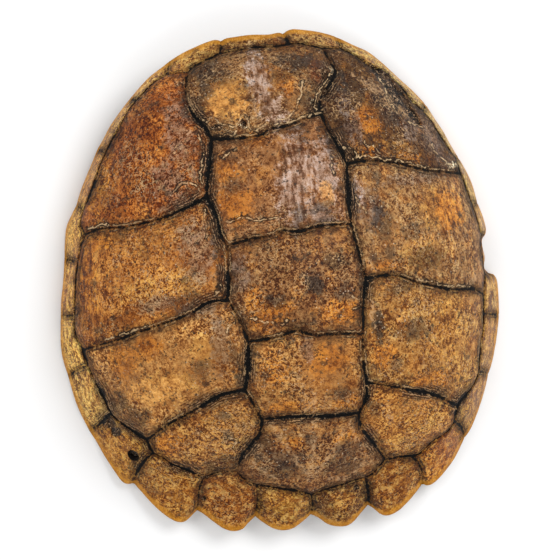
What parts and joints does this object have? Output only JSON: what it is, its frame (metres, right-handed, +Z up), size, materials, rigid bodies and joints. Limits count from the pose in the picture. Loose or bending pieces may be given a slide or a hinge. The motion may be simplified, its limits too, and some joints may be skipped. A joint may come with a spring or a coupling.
{
  "type": "turtle shell",
  "caption": "Domed upper shell of a snapping turtle: horny scutes parted by furrows, toothed hind edge, hollow underside with the backbone and rib heads fused to the bone.",
  "frame": {"origin": "middle of the plane that the shell rests on", "axes": "+Y to the head end, +Z up through the dome, +X to the shell's right side"},
  "size_m": [0.2657, 0.2952, 0.096],
  "materials": {
    "horn_and_bone": "satin"
  },
  "bodies": {
    "root": {"carapace": "horn_and_bone"}
  },
  "joints": []
}
